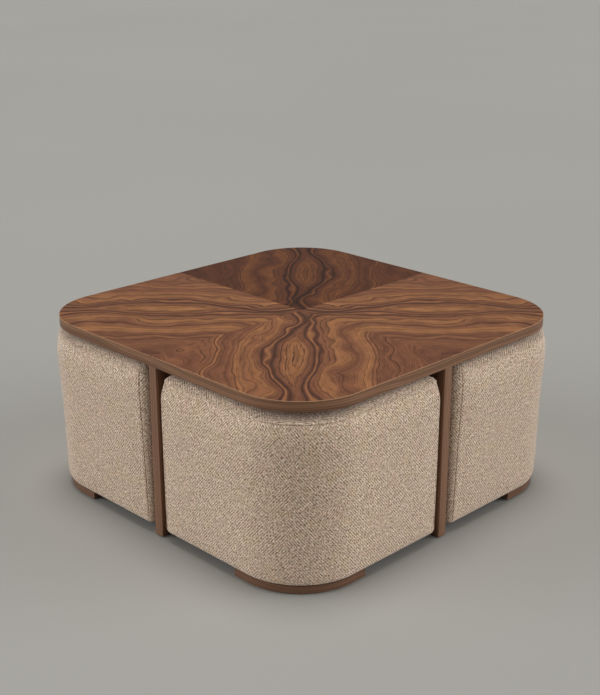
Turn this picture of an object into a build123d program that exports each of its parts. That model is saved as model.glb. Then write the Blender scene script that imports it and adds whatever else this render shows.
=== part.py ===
"""Square center table with four nesting poufs.

Millimetres, +Z up. The origin is on the floor under the middle of the table, and the sides of the
tabletop run along X and Y. The tabletop stands on two cross-halved dividers, and one pouf parks in
each quarter between them: front at +X -Y, right at +X +Y, back at -X +Y and left at -X -Y.
"""

import os
from math import cos, radians, sin, tan

from build123d import *

os.makedirs("parts", exist_ok=True)

# Whole table
table_width = 900
table_height = 430
corner_radius = 160
top_thickness = 23
overrun = 5

# Tabletop layers
veneer_thickness = 1.5
backing_thickness = 1.5
band_thickness = 2
top_arris = 0.8

# Cross-halved dividers
divider_thickness = 25
divider_inset = 2.5
lipping_thickness = 5
lipping_arris = 1.2
slot_clearance = 0.15

# Stopped tongues on the dividers, seated in crossed grooves under the top
tongue_thickness = 12
tongue_height = 8
tongue_stop = 30
groove_clearance = 0.15
groove_end_space = 1

# Nylon glide strips under the dividers
glide_height = 3
glide_width = 18
glide_length = 45
glide_end_distance = 40
glide_middle_distance = 60

# Pouf cover
pouf_gap = 10
pouf_space_above = 6
cover_bottom = 20
cover_lean = 8
seam_groove = 0.9
fabric_thickness = 2
fabric_turn_under = 24
pouf_corner_radius = 24
inner_corner_share = 0.75
shoulder_radius = 17
shoulder_turns = (0, 30, 60, 90)
hem_bevel = 2
crown_rise = 8
crown_rim_share = 0.4

# Pouf box and padding
soft_clearance = 0.3
side_padding = 8
seat_padding = 50
board_thickness = 15
wall_thickness = 12
box_corner_bevel = 6
glue_line = 0.2
dust_cloth_thickness = 0.5
dust_cloth_inset = 12

# Pouf feet
foot_inset = 6
foot_thickness = 22
foot_run = 200
foot_end_screw = 20
inner_foot_width = 40
inner_foot_near = 60
inner_foot_far = 80
pad_thickness = 2
pad_width = 14

# Countersunk foot screws
screw_radius = 2
screw_head_radius = 4
screw_length = 32
screw_recess = 0.4
screw_sides = 6
screw_sink_angle = 90
screw_clearance = 0.2
pilot_clearance = 0.1

# Levels and places of the table, from the sizes above
half_width = table_width / 2
corner_center = half_width - corner_radius
top_underside = table_height - top_thickness
core_bottom = top_underside + backing_thickness
core_top = table_height - veneer_thickness
core_width = table_width - 2 * band_thickness
core_radius = corner_radius - band_thickness
half_divider = divider_thickness / 2
divider_height = top_underside - glide_height
divider_middle = glide_height + divider_height / 2
divider_end = half_width - divider_inset
board_end = divider_end - lipping_thickness
slot_width = divider_thickness + 2 * slot_clearance
tongue_length = 2 * (board_end - tongue_stop)
tongue_top = top_underside + tongue_height
groove_length = tongue_length + 2 * groove_end_space
groove_width = tongue_thickness + 2 * groove_clearance
groove_top = tongue_top + groove_end_space
glide_distances = (glide_middle_distance, divider_end - glide_end_distance)

# Levels and places of a pouf parked in the +X +Y quarter
pouf_near = half_divider + pouf_gap
pouf_top = top_underside - pouf_space_above
pouf_middle = (pouf_near + half_width) / 2
pouf_width = half_width - pouf_near
shoulder_top = pouf_top - crown_rim_share * crown_rise
shoulder_bottom = shoulder_top - shoulder_radius
seam_height = shoulder_bottom - seam_groove
lean_slope = cover_lean / (seam_height - cover_bottom)
crown_radius = (pouf_width**2 / 2 + crown_rise**2) / (2 * crown_rise)
base_bottom = cover_bottom + fabric_thickness + soft_clearance
base_top = base_bottom + board_thickness
seat_pad_bottom = pouf_top - fabric_thickness - seat_padding
seat_board_bottom = seat_pad_bottom - board_thickness
padding_depth = fabric_thickness + soft_clearance + side_padding + soft_clearance
box_near = pouf_near + padding_depth
box_reach = half_width - padding_depth
foot_top = cover_bottom - dust_cloth_thickness
foot_reach = half_width - foot_inset
foot_start = half_width - foot_run
foot_line = foot_reach - foot_thickness / 2
foot_hollow_reach = foot_reach - foot_thickness
foot_bend = (foot_line - corner_center) * sin(radians(45))
screw_bottom = pad_thickness + screw_recess
head_height = (screw_head_radius - screw_radius) / tan(radians(screw_sink_angle / 2))
sink_mouth_radius = screw_head_radius + screw_recess + screw_clearance
corner_screws = (
    (foot_start + foot_end_screw, foot_line),
    (foot_line, foot_start + foot_end_screw),
)
bend_place = (corner_center + foot_bend, corner_center + foot_bend)
inner_foot_places = (
    (pouf_near + inner_foot_near, pouf_near + inner_foot_near),
    (pouf_near + inner_foot_near, half_width - inner_foot_far),
    (half_width - inner_foot_far, pouf_near + inner_foot_near),
)
foot_screws = corner_screws + inner_foot_places
pad_places = foot_screws + (bend_place,)

# One veneer and one pouf are drawn in the +X +Y quarter and turned about Z into all four
quarter_turns = {"front": -90, "right": 0, "back": 90, "left": 180}
outward = Axis((0, 0, 0), (1, 1, 0))


def level(height):
    """Level plane at a height."""
    return Plane.XY.offset(height)


def quarter_square(near, reach, far_radius, near_bevel=0, near_radius=0):
    """Sketch a square in the +X +Y quarter, with a wide round at its far corner."""
    with Locations(((near + reach) / 2, (near + reach) / 2)):
        Rectangle(reach - near, reach - near)
    corners = vertices().sort_by(outward)
    if near_bevel:
        chamfer(corners[:-1], length=near_bevel)
    if near_radius:
        fillet(corners[:-1], radius=near_radius)
    fillet(vertices().sort_by(outward)[-1:], radius=far_radius)


def groove_cross(mode=Mode.ADD):
    """Sketch the two crossed grooves that the dividers are seated in."""
    Rectangle(groove_length, groove_width, mode=mode)
    Rectangle(groove_width, groove_length, mode=mode)


def keep(piece, name):
    """Label a finished piece and write its file."""
    piece.part.label = name
    export_step(piece.part, f"parts/{name}.step")
    print(name, len(piece.part.solids()), "solids")


def keep_in_quarters(piece, name_in_place):
    """Turn a piece into each of the four quarters and keep it there."""
    for place, turn in quarter_turns.items():
        with BuildPart() as placed:
            add(piece.part, rotation=(0, 0, turn))
        keep(placed, name_in_place.format(place))


# Tabletop: board, backing, band round the edge and four pieces of face veneer
with BuildPart() as tabletop_core:
    with BuildSketch(level(core_bottom)):
        RectangleRounded(core_width, core_width, core_radius)
    extrude(amount=core_top - core_bottom)
    with BuildSketch(level(core_bottom)):
        groove_cross()
    extrude(amount=groove_top - core_bottom, mode=Mode.SUBTRACT)
keep(tabletop_core, "tabletop_core")

with BuildPart() as backing_veneer:
    with BuildSketch(level(top_underside)):
        RectangleRounded(core_width, core_width, core_radius)
        groove_cross(mode=Mode.SUBTRACT)
    extrude(amount=backing_thickness)
keep(backing_veneer, "backing_veneer")

with BuildPart() as edge_band:
    with BuildSketch(level(top_underside)):
        RectangleRounded(table_width, table_width, corner_radius)
        RectangleRounded(core_width, core_width, core_radius, mode=Mode.SUBTRACT)
    extrude(amount=core_top - top_underside)
keep(edge_band, "edge_band")

with BuildPart() as veneer:
    with BuildSketch(level(core_top)):
        quarter_square(0, half_width, corner_radius)
    extrude(amount=veneer_thickness)
    upper_edges = veneer.edges().group_by(Axis.Z)[-1]
    chamfer(upper_edges.sort_by(outward)[-3:], length=top_arris)
keep_in_quarters(veneer, "veneer_{}")

# Dividers: each is halved where they cross, and both carry the top and stand on glides
divider_slots = {
    "divider_slotted_above": (Plane.XZ, divider_middle, tongue_top + overrun),
    "divider_slotted_below": (Plane.YZ, glide_height - overrun, divider_middle),
}
for name, (plane, slot_bottom, slot_top) in divider_slots.items():
    with BuildPart() as divider:
        with BuildSketch(plane):
            with Locations((0, divider_middle)):
                Rectangle(2 * board_end, divider_height)
        extrude(amount=half_divider, both=True)
        with BuildSketch(plane):
            with Locations((0, top_underside + tongue_height / 2)):
                Rectangle(tongue_length, tongue_height)
        extrude(amount=tongue_thickness / 2, both=True)
        with BuildSketch(plane):
            with Locations((0, (slot_bottom + slot_top) / 2)):
                Rectangle(slot_width, slot_top - slot_bottom)
        extrude(amount=divider_thickness, both=True, mode=Mode.SUBTRACT)
    keep(divider, name)

with BuildPart() as end_lippings:
    with BuildSketch(level(glide_height)):
        with PolarLocations(board_end + lipping_thickness / 2, 4):
            Rectangle(lipping_thickness, divider_thickness)
        outer_corners = vertices().sort_by_distance((0, 0, 0))[-8:]
        chamfer(outer_corners, length=lipping_arris)
    extrude(amount=divider_height)
keep(end_lippings, "end_lippings")

with BuildPart() as floor_glides:
    with BuildSketch(level(0)):
        for distance in glide_distances:
            with PolarLocations(distance, 4):
                Rectangle(glide_length, glide_width)
    extrude(amount=glide_height)
keep(floor_glides, "floor_glides")


# Pouf cover: its sides lean out, its top is crowned and its hem turns in under the base
def pouf_outline(height, inset, near_bevel=0, near_radius=0):
    """Sketch the plan of a pouf at a height; its two outer sides lean out as it rises."""
    lean = lean_slope * (height - cover_bottom)
    reach = half_width + lean - inset
    quarter_square(pouf_near + inset, reach, corner_radius - inset, near_bevel, near_radius)


def crown(inset):
    """Cut the top of a pouf to a shallow dome, whose poles lie level."""
    dome_middle = pouf_top - inset - crown_radius
    with Locations((pouf_middle, pouf_middle, dome_middle)):
        Sphere(crown_radius, rotation=(90, 0, 0), mode=Mode.INTERSECT)


def shoulder_rings(inset):
    """Heights and insets of the rings that round the shoulder over to the crown."""
    radius = shoulder_radius - inset
    rise = [radius * sin(radians(turn)) for turn in shoulder_turns]
    draw_in = [radius * (1 - cos(radians(turn))) for turn in shoulder_turns]
    rings = [(shoulder_bottom + up, inset + across) for up, across in zip(rise, draw_in)]
    return rings + [(pouf_top, shoulder_radius)]


# The outside is drawn in along the stitched seam and bevelled at the hem
hem_rings = [(cover_bottom, hem_bevel), (cover_bottom + hem_bevel, 0)]
seam_rings = [(seam_height - seam_groove, 0), (seam_height, seam_groove)]
with BuildPart() as cover_outside:
    for height, ring_inset in hem_rings + seam_rings + shoulder_rings(0):
        with BuildSketch(level(height)):
            pouf_outline(height, ring_inset, near_radius=pouf_corner_radius - ring_inset)
    loft(ruled=True)
    crown(0)


def pouf_inside(inset):
    """Form of a pouf inside its cover, with its upright corners cut."""
    corner_bevel = inner_corner_share * (pouf_corner_radius - inset)
    with BuildPart() as body:
        for height, ring_inset in [(cover_bottom + inset, inset)] + shoulder_rings(inset):
            with BuildSketch(level(height)):
                pouf_outline(height, ring_inset, near_bevel=corner_bevel)
        loft(ruled=True)
        crown(inset)
    return body


def shank_holes(places, bottom, depth, clearance=screw_clearance):
    """Cutters for upward holes with room for the shanks of the foot screws."""
    with BuildPart() as cutters:
        with BuildSketch(level(bottom)):
            with Locations(*places):
                RegularPolygon(screw_radius + clearance, side_count=screw_sides)
        extrude(amount=depth)
    return cutters


cover_inside = pouf_inside(fabric_thickness)
hem_holes = shank_holes(corner_screws, cover_bottom, fabric_thickness)
with BuildPart() as cover:
    add(cover_outside.part)
    add(cover_inside.part, mode=Mode.SUBTRACT)
    with BuildSketch(level(cover_bottom)):
        quarter_square(
            pouf_near + fabric_turn_under,
            half_width - fabric_turn_under,
            corner_radius - fabric_turn_under,
        )
    extrude(amount=fabric_thickness, mode=Mode.SUBTRACT)
    add(hem_holes.part, mode=Mode.SUBTRACT)

# The seam parts the top of the cover from its band
for name, side in {"cover_top": Keep.TOP, "cover_band": Keep.BOTTOM}.items():
    with BuildPart() as cover_piece:
        add(cover.part)
        split(bisect_by=level(seam_height), keep=side)
    keep_in_quarters(cover_piece, "{}_" + name)


# Padding: a seat cushion on the box, and a wrap round the box with a little clearance
def box_outline(growth=0):
    """Sketch the plan of the plywood box."""
    quarter_square(
        box_near - growth,
        box_reach + growth,
        box_reach + growth - corner_center,
        box_corner_bevel,
    )


padding = pouf_inside(fabric_thickness + soft_clearance)
with BuildPart() as seat_foam:
    add(padding.part)
    split(bisect_by=level(seat_pad_bottom), keep=Keep.TOP)
keep_in_quarters(seat_foam, "{}_seat_foam")

with BuildPart() as side_foam:
    add(padding.part)
    split(bisect_by=level(seat_pad_bottom), keep=Keep.BOTTOM)
    with BuildSketch(level(base_bottom - overrun)):
        box_outline(soft_clearance)
    extrude(amount=seat_pad_bottom - base_bottom + 2 * overrun, mode=Mode.SUBTRACT)
keep_in_quarters(side_foam, "{}_side_foam")

# Plywood box: base, seat board, two straight walls and one bent wall round the outside
with BuildPart() as seat_board:
    with BuildSketch(level(seat_board_bottom)):
        box_outline()
    extrude(amount=board_thickness)
keep_in_quarters(seat_board, "{}_seat_board")

pilot_holes = shank_holes(foot_screws, base_bottom, board_thickness, pilot_clearance)
with BuildPart() as base_board:
    with BuildSketch(level(base_bottom)):
        box_outline()
    extrude(amount=board_thickness)
    add(pilot_holes.part, mode=Mode.SUBTRACT)
keep_in_quarters(base_board, "{}_base_board")

wall_inner_near = box_near + wall_thickness
wall_inner_reach = box_reach - wall_thickness
glue_joints = (
    ((box_near, wall_inner_reach - glue_line), (wall_thickness, glue_line)),
    ((wall_inner_reach - glue_line, box_near), (glue_line, wall_thickness)),
    ((wall_inner_near, box_near), (glue_line, wall_thickness)),
)
with BuildPart() as box_walls:
    with BuildSketch(level(base_top)):
        box_outline()
        for start, joint_size in glue_joints:
            with Locations(start):
                Rectangle(*joint_size, align=(Align.MIN, Align.MIN), mode=Mode.SUBTRACT)
    extrude(amount=seat_board_bottom - base_top)
    with BuildSketch(level(base_top)):
        quarter_square(wall_inner_near, wall_inner_reach, wall_inner_reach - corner_center)
    extrude(amount=seat_board_bottom - base_top, mode=Mode.SUBTRACT)
keep_in_quarters(box_walls, "{}_box_walls")

# Thin cloth stapled over the hem and the base board
cloth_holes = shank_holes(foot_screws, foot_top, dust_cloth_thickness)
with BuildPart() as dust_cloth:
    with BuildSketch(level(foot_top)):
        quarter_square(
            pouf_near + dust_cloth_inset,
            half_width - dust_cloth_inset,
            corner_radius - dust_cloth_inset,
            pouf_corner_radius - dust_cloth_inset,
        )
    extrude(amount=dust_cloth_thickness)
    add(cloth_holes.part, mode=Mode.SUBTRACT)
keep_in_quarters(dust_cloth, "{}_dust_cloth")

# Feet with countersunk holes: a bent one at the round corner and three blocks out of sight
sink_places = {"corner_foot": corner_screws, "inner_feet": inner_foot_places}
sink_holes = {}
for name, places in sink_places.items():
    foot_shank_holes = shank_holes(places, pad_thickness, foot_top - pad_thickness)
    with BuildPart() as cutters:
        add(foot_shank_holes.part)
        with BuildSketch(level(pad_thickness)):
            with Locations(*places):
                RegularPolygon(sink_mouth_radius, side_count=screw_sides)
        extrude(amount=head_height, taper=screw_sink_angle / 2)
    sink_holes[name] = cutters.part

with BuildPart() as corner_foot:
    with BuildSketch(level(pad_thickness)):
        quarter_square(foot_start, foot_reach, foot_reach - corner_center)
    extrude(amount=foot_top - pad_thickness)
    with BuildSketch(level(pad_thickness)):
        quarter_square(foot_start - overrun, foot_hollow_reach, foot_hollow_reach - corner_center)
    extrude(amount=foot_top - pad_thickness, mode=Mode.SUBTRACT)
    add(sink_holes["corner_foot"], mode=Mode.SUBTRACT)
keep_in_quarters(corner_foot, "{}_corner_foot")

with BuildPart() as inner_feet:
    with BuildSketch(level(pad_thickness)):
        with Locations(*inner_foot_places):
            Rectangle(inner_foot_width, inner_foot_width)
    extrude(amount=foot_top - pad_thickness)
    add(sink_holes["inner_feet"], mode=Mode.SUBTRACT)
keep_in_quarters(inner_feet, "{}_inner_feet")

# Felt pads stuck under the feet, over the screw heads
with BuildPart() as foot_pads:
    with BuildSketch(level(0)):
        with Locations(*pad_places):
            Rectangle(pad_width, pad_width)
    extrude(amount=pad_thickness)
keep_in_quarters(foot_pads, "{}_foot_pads")

# Countersunk screws that hold the feet
with BuildPart() as foot_fixings:
    with BuildSketch(level(screw_bottom)):
        with Locations(*foot_screws):
            RegularPolygon(screw_head_radius, side_count=screw_sides)
    extrude(amount=head_height, taper=screw_sink_angle / 2)
    with BuildSketch(level(screw_bottom)):
        with Locations(*foot_screws):
            RegularPolygon(screw_radius, side_count=screw_sides)
    extrude(amount=screw_length)
keep_in_quarters(foot_fixings, "{}_foot_screws")
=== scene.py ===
# %% [markdown]
# # A coffee table with four nesting poufs
#
# The real object is a square table with wide round corners. Its top is veneered in four matched
# quarters of figured walnut, and it stands on two crossed dividers. One upholstered pouf parks in
# each quarter and slides out along the diagonal.
#
# The solids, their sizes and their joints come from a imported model. This lesson loads it as a fixed
# frame and gives it looks: veneer whose figure follows a worked-out growth field, upholstery that is
# swelled by a short cloth simulation, seams, stitches and materials made only of nodes.

import bpy
import numpy as np
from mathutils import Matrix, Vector


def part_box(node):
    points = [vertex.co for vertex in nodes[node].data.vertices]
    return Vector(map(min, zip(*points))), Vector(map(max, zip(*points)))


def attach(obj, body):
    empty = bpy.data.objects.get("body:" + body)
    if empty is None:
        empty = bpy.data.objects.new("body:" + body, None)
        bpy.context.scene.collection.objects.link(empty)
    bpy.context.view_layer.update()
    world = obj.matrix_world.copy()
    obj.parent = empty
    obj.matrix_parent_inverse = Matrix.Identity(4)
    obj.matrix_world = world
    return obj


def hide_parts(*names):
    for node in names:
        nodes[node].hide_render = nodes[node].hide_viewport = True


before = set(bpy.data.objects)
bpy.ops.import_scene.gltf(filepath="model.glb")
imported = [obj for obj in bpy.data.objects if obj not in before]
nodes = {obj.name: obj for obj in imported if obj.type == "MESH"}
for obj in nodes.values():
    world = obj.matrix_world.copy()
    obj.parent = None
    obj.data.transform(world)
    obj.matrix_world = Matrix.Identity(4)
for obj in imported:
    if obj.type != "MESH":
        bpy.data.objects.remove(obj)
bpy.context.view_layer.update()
MM = 0.001
PLACES = {"front": -90, "right": 0, "back": 90, "left": 180}

# %% [markdown]
# ## Three small helpers
#
# A colour is written as the hex value that a paint chart or a photo would give, and one function
# turns it into the linear values that Blender works with. A node is added by one function that also
# sets its options and joins its sockets, so a material reads as a recipe. A new piece is a grid of
# points worked out as whole arrays and put into a mesh in one go.

# %% Helpers for colour, nodes and meshes
def srgb(code, alpha=1.0):
    """Linear colour of a hex code: each channel is divided by 12.92 or raised to the power 2.4."""
    channels = np.array([int(code[i:i + 2], 16) for i in (1, 3, 5)]) / 255
    linear = np.where(channels <= 0.04045, channels / 12.92, ((channels + 0.055) / 1.055) ** 2.4)
    return (*linear.tolist(), alpha)


# A Mix node for colours takes them at these two inputs and gives this output
MIX_A, MIX_B, MIXED = 6, 7, 2


def add(tree, kind, inputs=None, stops=None, **options):
    """Add a node with its options, colour stops and inputs; a socket as input is joined to it."""
    made = tree.nodes.new(kind)
    for name, value in options.items():
        setattr(made, name, value)
    if stops:
        elements = made.color_ramp.elements
        while len(elements) < len(stops):
            elements.new(0.5)
        for element, (position, colour) in zip(elements, stops):
            element.position = position
            element.color = colour if len(colour) == 4 else srgb(colour)
    for key, value in (inputs or {}).items():
        if isinstance(value, bpy.types.NodeSocket):
            tree.links.new(value, made.inputs[key])
        else:
            made.inputs[key].default_value = value
    return made.outputs


def finish_named(name, roughness, **constants):
    """A new material with one surface shader; its constants are set on the shader's own sockets."""
    material = bpy.data.materials.new(name)
    material.use_nodes = True
    tree = material.node_tree
    surface = tree.nodes["Principled BSDF"]
    surface.inputs["Roughness"].default_value = roughness
    for key, value in constants.items():
        surface.inputs[key.replace("_", " ")].default_value = value
    return material, tree, surface


def sheet_of_points(points, wrap=False, poles=(False, False)):
    """Faces of a grid of points [rows, columns]: each four neighbours make one quad.

    With wrap the last column joins the first. A pole closes the first or last row with one point
    at the row's middle.
    """
    rows, columns = points.shape[:2]
    index = np.arange(rows * columns).reshape(rows, columns)
    right = np.roll(index, -1, axis=1) if wrap else index[:, 1:]
    left = index if wrap else index[:, :-1]
    quads = np.stack([left[:-1], right[:-1], right[1:], left[1:]], axis=-1).reshape(-1, 4)
    vertices = points.reshape(-1, 3)
    faces = quads.tolist()
    for row, wanted in zip((0, rows - 1), poles):
        if wanted:
            middle = len(vertices)
            vertices = np.vstack([vertices, points[row].mean(axis=0)])
            ring = np.stack([np.roll(index[row], -1), index[row]], axis=-1)
            ring = ring if row == 0 else ring[:, ::-1]
            faces += [[a, b, middle] for a, b in ring.tolist()]
    return vertices, faces


def piece_of(name, vertices, faces, material=None, smooth=True):
    """Put points and faces, in metres, into a new object, with its material if it has one yet."""
    mesh = bpy.data.meshes.new(name)
    mesh.from_pydata(np.asarray(vertices).tolist(), [], faces)
    mesh.polygons.foreach_set("use_smooth", [smooth] * len(mesh.polygons))
    if material:
        mesh.materials.append(material)
    mesh.update()
    made = bpy.data.objects.new(name, mesh)
    bpy.context.scene.collection.objects.link(made)
    return made


def turned(points, degrees):
    """Points turned about the table's upright axis."""
    angle = np.radians(degrees)
    spin = np.array([[np.cos(angle), -np.sin(angle), 0], [np.sin(angle), np.cos(angle), 0], [0, 0, 1]])
    return points @ spin.T


def mesh_data(made, name, values):
    """Store one number a vertex on a mesh, for its material to read."""
    layer = made.data.attributes.new(name, "FLOAT", "POINT")
    layer.data.foreach_set("value", np.asarray(values, dtype=np.float32).ravel())


print("a middle grey, #808080, in linear values:", np.round(srgb("#808080"), 3))

# %% [markdown]
# ## Camera
#
# A studio shot like this one is taken with a longish lens from a little above, so that the upright
# lines stay nearly parallel. The camera looks at the table's corner from 20 degrees above the floor.
# Its place and lens were found by matching the outline of a table of the same proportions.

# %% Camera
# Where the camera stands round the table, in degrees from the x axis; the lamps start from there
CAMERA_AZIMUTH = -44.7

camera_data = bpy.data.cameras.new("studio_camera")
camera_data.sensor_width = 36
camera_data.lens = 63.909
camera_data.clip_end = 60
camera = bpy.data.objects.new("studio_camera", camera_data)
camera.location = (1.97188, -1.95367, 1.33086)
toward_camera = Vector((0.66943, -0.66192, 0.33724))
camera.rotation_mode = "QUATERNION"
camera.rotation_quaternion = (-toward_camera).to_track_quat("-Z", "Y")
bpy.context.scene.collection.objects.link(camera)
bpy.context.scene.camera = camera
print("camera distance in m:", round(camera.location.length, 3))

# %% [markdown]
# ## Studio
#
# The picture was taken on one wide sheet of grey paper, so there is no line between floor and wall.
# From this height the camera sees nothing above the horizon, so a large flat sheet fills the view,
# and what looks past its far edge, straight or in a gloss, sees the surround in the same grey.
#
# The light is soft and comes mostly from large banks at both sides, which is why the two outer sides
# of a pouf are lighter than the round corner between them. Each bank is a distant lamp with a wide
# disc, so that the paper is evenly bright all over. The surround gives the rest. Together they light
# a level surface so that its colour is seen as written.

# %% Floor and light
bpy.context.scene.view_settings.view_transform = "Standard"


def paper_floor(reach=60.0, count=61):
    """A level square sheet, its points set closer together near the middle by a cubed spacing."""
    at = reach * np.linspace(-1, 1, count) ** 3
    across, along = np.meshgrid(at, at)
    return np.stack([across, along, np.zeros_like(across)], axis=-1)


paper, tree, surface = finish_named("grey_backdrop_paper_matt", 0.95, Specular_IOR_Level=0.05)
where = add(tree, "ShaderNodeTexCoord")["Object"]
# Clouds about 3 m wide, hardly darker or lighter than the sheet
cloudy = add(tree, "ShaderNodeTexNoise", {"Vector": where, "Scale": 0.35, "Detail": 1.0})["Fac"]
tone = add(tree, "ShaderNodeValToRGB", {"Fac": cloudy}, stops=[(0.3, "#A2A09B"), (0.7, "#A4A29D")])
tree.links.new(tone["Color"], surface.inputs["Base Color"])
floor = piece_of("studio_floor", *sheet_of_points(paper_floor()), paper)

world = bpy.data.worlds.new("studio_surround")
world.use_nodes = True
tree = world.node_tree
lights = tree.nodes["Background"]
lights.inputs["Color"].default_value = srgb("#FBFAF8")
lights.inputs["Strength"].default_value = 0.24
# Rays that look at the surround, straight or in a mirror, see the grey of the paper
seen = add(tree, "ShaderNodeBackground", {"Color": srgb("#A5A39E"), "Strength": 1.0})["Background"]
rays = add(tree, "ShaderNodeLightPath")
looks = rays["Is Camera Ray"]
for other in ("Is Glossy Ray", "Is Transmission Ray"):
    looks = add(tree, "ShaderNodeMath", {0: looks, 1: rays[other]}, operation="ADD")["Value"]
both = add(tree, "ShaderNodeMixShader", {"Fac": looks, 1: lights.outputs["Background"], 2: seen})["Shader"]
tree.links.new(both, tree.nodes["World Output"].inputs["Surface"])
bpy.context.scene.world = world


def light_bank(name, azimuth, elevation, width, strength):
    """A distant lamp from an azimuth right of the camera's own, with a disc of a width in degrees."""
    data = bpy.data.lights.new(name, "SUN")
    data.energy = strength
    data.angle = np.radians(width)
    lamp = bpy.data.objects.new(name, data)
    around, up = np.radians(azimuth + CAMERA_AZIMUTH), np.radians(elevation)
    toward = Vector((np.cos(around) * np.cos(up), np.sin(around) * np.cos(up), np.sin(up)))
    lamp.rotation_euler = toward.to_track_quat("Z", "Y").to_euler()
    bpy.context.scene.collection.objects.link(lamp)


light_bank("left_bank", -83, 15, 52, 1.88)
light_bank("right_bank", 83, 15, 52, 1.96)
light_bank("overhead_bank", 180, 85, 26, 1.47)
print("studio ready")

# %% [markdown]
# ## The figure of the veneer
#
# Crotch walnut is cut where a branch meets the trunk, so its growth rings close into long eyes with
# dark double bands round them, and run out into nearly straight lines at the sides. All four quarters
# of the top come from neighbouring leaves of one log, which is why each shows the same eye, mirrored.
#
# Drawing this with noise alone gives clouds, not wood. So the growth rings are a field: a number for
# each point that tells how far out in the log it lies. It is worked out here from the eye's middle
# line and width, with swirls added where the wood is burly. The material then only has to lay colour
# and fine lines along the field.

# %% Growth field of the veneer
LATTICE = 128


def drift(across, along, size_across, size_along, seed):
    """Smooth noise from -1 to 1: random values on a lattice, blended with smooth steps.

    The sizes are the lattice's steps in mm. The middle of the table falls well inside the lattice.
    """
    values = np.random.default_rng(seed).uniform(-1, 1, (LATTICE, LATTICE))
    a, b = across / size_across + LATTICE / 2, along / size_along + LATTICE / 4
    i, j = np.floor(a).astype(int) % (LATTICE - 1), np.floor(b).astype(int) % (LATTICE - 1)
    s, t = a - np.floor(a), b - np.floor(b)
    s, t = s * s * (3 - 2 * s), t * t * (3 - 2 * t)
    low = values[i, j] * (1 - s) + values[i + 1, j] * s
    high = values[i, j + 1] * (1 - s) + values[i + 1, j + 1] * s
    return low * (1 - t) + high * t


# Swirls in mm: across, along, half size across, half size along, height of the swirl
SWIRLS = (
    (-94, 168, 16, 30, 9), (82, 205, 15, 19, -11), (62, 258, 12, 26, 9), (96, 150, 19, 28, 8),
    (-268, 288, 30, 44, -40), (-232, 372, 22, 34, 20), (66, 500, 12, 30, -16), (60, 395, 14, 40, 9),
    (222, 345, 26, 40, -22), (-95, 470, 22, 24, 16), (-34, 118, 18, 30, -9), (262, 300, 22, 34, 18),
    (36, 62, 20, 22, 12), (-118, 330, 9, 70, 8), (200, 430, 20, 24, 14), (-60, 60, 22, 20, -12),
    (-205, 250, 14, 26, 12), (-62, 520, 16, 20, 12), (110, 70, 26, 16, -12), (-140, 120, 22, 22, 10),
)


def burl(across, along):
    """Knotty unrest in mm: smooth noise of three sizes, the smaller the lower."""
    return (24 * drift(across, along, 62, 84, 11) + 11 * drift(across, along, 33, 45, 12)
            + 2.5 * drift(across, along, 16, 24, 13))


def growth_field(across, along):
    """Distance outward from the edge of the eye, in mm, and the side of the eye, from 0 to 1.

    The eye's middle line wanders from the table's centre to the corner, its half width swells to
    41 mm at 335 mm out, and the field is the distance from the middle line less that half width,
    which fades out sideways. Unrest is low in the double band and in the straight lines at 110 to
    180 mm, and high elsewhere. Each swirl adds a bell-shaped bump, which closes the rings round it.
    """
    centre = np.exp(-((along / 95) ** 2))
    p = across + 5.0 * drift(across, along, 58, 150, 1) + 2.2 * drift(across, along, 20, 46, 2)
    p = p + 9 * centre * drift(across, along, 27, 33, 3)
    q = along + 8 * drift(across, along, 45, 60, 4)
    middle = -14 + 34 * np.exp(-(((q - 66) / 88) ** 2)) + 15 / (1 + np.exp(-(q - 500) / 14))
    half = 4 + 37 * np.exp(-np.abs((q - 335) / 142) ** 3) + 5 * np.exp(-(((q - 575) / 60) ** 2))
    off = np.sqrt((p - middle) ** 2 + 4)
    growth = off - half * np.exp(-np.maximum(off - half, 0) / 75)
    calm_band = 1 - 0.9 * np.exp(-(((growth - 8) / 17) ** 2))
    calm_lines = 1 - 0.72 * np.exp(-(((growth - 148) / 34) ** 4)) * (across > 0)
    calm_left = 1 - 0.5 * np.exp(-(((growth - 132) / 30) ** 4)) * (across < 0)
    inside = np.where(growth < 0, 0.2, 1.0)
    growth = growth + burl(across, along) * calm_band * calm_lines * calm_left * inside
    for a, b, s, t, lift in SWIRLS:
        growth = growth + lift * np.exp(-(((across - a) / s) ** 2) - ((along - b) / t) ** 2)
    side = np.clip((p - middle) / 16, -1, 1) / 2 + 0.5
    return growth, side


print("growth at 0, 100 and 200 mm beside the eye:",
      np.round(growth_field(np.array([0.0, 100.0, 200.0]), np.full(3, 335.0))[0]))

# %% [markdown]
# ## Walnut finishes
#
# Walnut is chocolate brown with a violet cast in its dark rings and an orange one in the light ones.
# A satin lacquer lies over it, rubbed nearly matt, so its gloss is broad and faint: roughness from
# 0.38 to 0.52, the lacquer's index of refraction, about 1.5, and a low specular level. Pores a fifth
# of a millimetre wide run along the fibres. They are too fine to show at this distance, so they are
# drawn as streaks just under a millimetre wide.
#
# The crotch veneer lays its colours along the growth field. Crotch wood also changes its tone with
# the direction of the light, and the far quarter is seen at its darkest. A material must not follow
# the camera, so that darkness is painted into the far leaf's colour: a painted shade.
#
# A noise node's scale is the number of its cells in a metre, since all maps are in metres: 420 makes
# cells of 2.4 mm. The comments give the sizes in mm, first across the grain and then along it.

# %% Crotch veneer
WALNUT = {"light": "#986744", "warm": "#85573D", "brown": "#744A36", "deep": "#61402F", "dark": "#4C3025"}
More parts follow.
